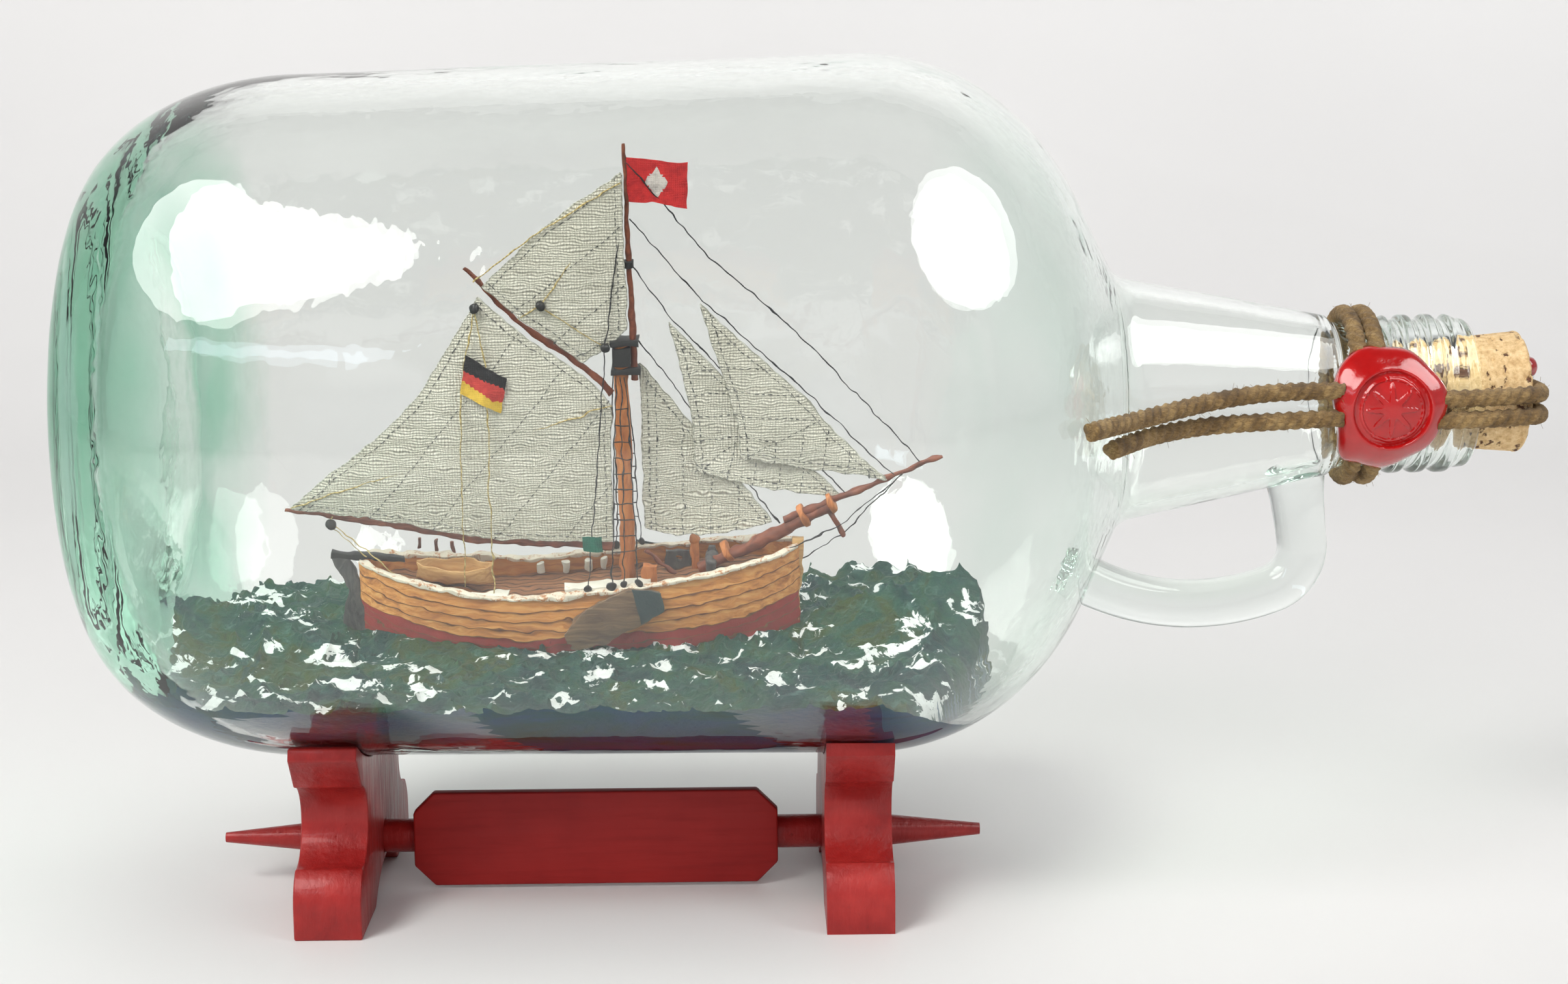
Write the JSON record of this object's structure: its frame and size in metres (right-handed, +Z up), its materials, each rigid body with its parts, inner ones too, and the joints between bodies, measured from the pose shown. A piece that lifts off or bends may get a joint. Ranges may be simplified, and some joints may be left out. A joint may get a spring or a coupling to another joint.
{
  "type": "ship in a bottle",
  "caption": "Model sailing barge on a putty sea inside a handled glass jug, corked, tied with twine and sealed with wax, lying on a red wooden stand with a blank board.",
  "frame": {"origin": "centre of the bounding box, on the surface that the stand's feet rest on", "axes": "+X along the bottle towards its neck, -Y the front where the seal and the board are, +Z up"},
  "size_m": [0.3673, 0.178, 0.2152],
  "materials": {
    "red_paint": "brushed dark red gloss paint on wood, worn at the edges",
    "jug_glass": "clear glass with a green tint where it is thick",
    "cork": "pressed natural cork with dark pits",
    "jute": "twisted jute twine with loose fibres",
    "wax": "glossy red sealing wax",
    "putty_sea": "painted putty, grey-green with white foam",
    "plank": "oiled planks, dark seams, red band at the waterline",
    "deck_wood": "brown stained wood",
    "pale_wood": "off-white paint worn to the wood",
    "dark_wood": "dark grey painted wood",
    "board_wood": "weathered brown-grey wood",
    "tan_wood": "orange-tan varnished wood",
    "spar_wood": "reddish-brown varnished spar",
    "black_fitting": "black painted fittings",
    "linen": "grey-beige linen with visible weave and stitched seams",
    "black_thread": "black thread",
    "yellow_thread": "yellow thread",
    "red_flag": "printed flag, red with a plain pale device",
    "banded_flag": "flag of black, red and yellow bands",
    "green_flag": "small green flag"
  },
  "bodies": {
    "stand": {"cradle_left": "red_paint", "cradle_right": "red_paint", "stand_rod": "red_paint", "name_board": "red_paint"},
    "bottle": {"bottle": "jug_glass", "cork": "cork", "neck_cord": "jute", "cork_cord": "jute", "cord_tail_upper": "jute", "cord_tail_lower": "jute", "wax_seal": "wax", "wax_dab": "wax", "sea": "putty_sea", "hull": "plank", "deck": "deck_wood", "rail_cap": "pale_wood", "stem_post": "tan_wood", "rudder": "dark_wood", "tiller": "dark_wood", "leeboard_near": "board_wood", "leeboard_far": "board_wood", "hatch_house": "pale_wood", "aft_box": "pale_wood", "dinghy": "tan_wood", "folded_sail": "linen", "fenders": "pale_wood", "tabernacle": "tan_wood", "windlass": "deck_wood", "bow_bitt": "tan_wood", "windlass_bar": "spar_wood", "hawse_panel": "pale_wood", "lower_mast": "tan_wood", "topmast": "spar_wood", "mast_cap": "black_fitting", "boom": "spar_wood", "gaff": "spar_wood", "bowsprit": "spar_wood", "jib_boom": "spar_wood", "bowsprit_bands": "tan_wood", "dolphin_striker": "spar_wood", "mainsail": "linen", "topsail": "linen", "fore_staysail": "linen", "jib": "linen", "flying_jib": "linen", "masthead_flag": "red_flag", "ensign": "banded_flag", "green_pennant": "green_flag", "shrouds_near": "black_thread", "shrouds_far": "black_thread", "fore_stays": "black_thread", "backstays": "black_thread", "running_rigging": "yellow_thread", "ensign_halyards": "yellow_thread", "mainsheet": "yellow_thread", "bobstays": "black_thread", "blocks": "black_fitting", "deadeyes": "black_fitting", "belaying_pins": "spar_wood"}
  },
  "joints": [
    {"name": "bottle_lift", "type": "slide", "parent": "stand", "child": "bottle", "axis": [0, 0, 1], "range_m": [0, 0.12]}
  ]
}
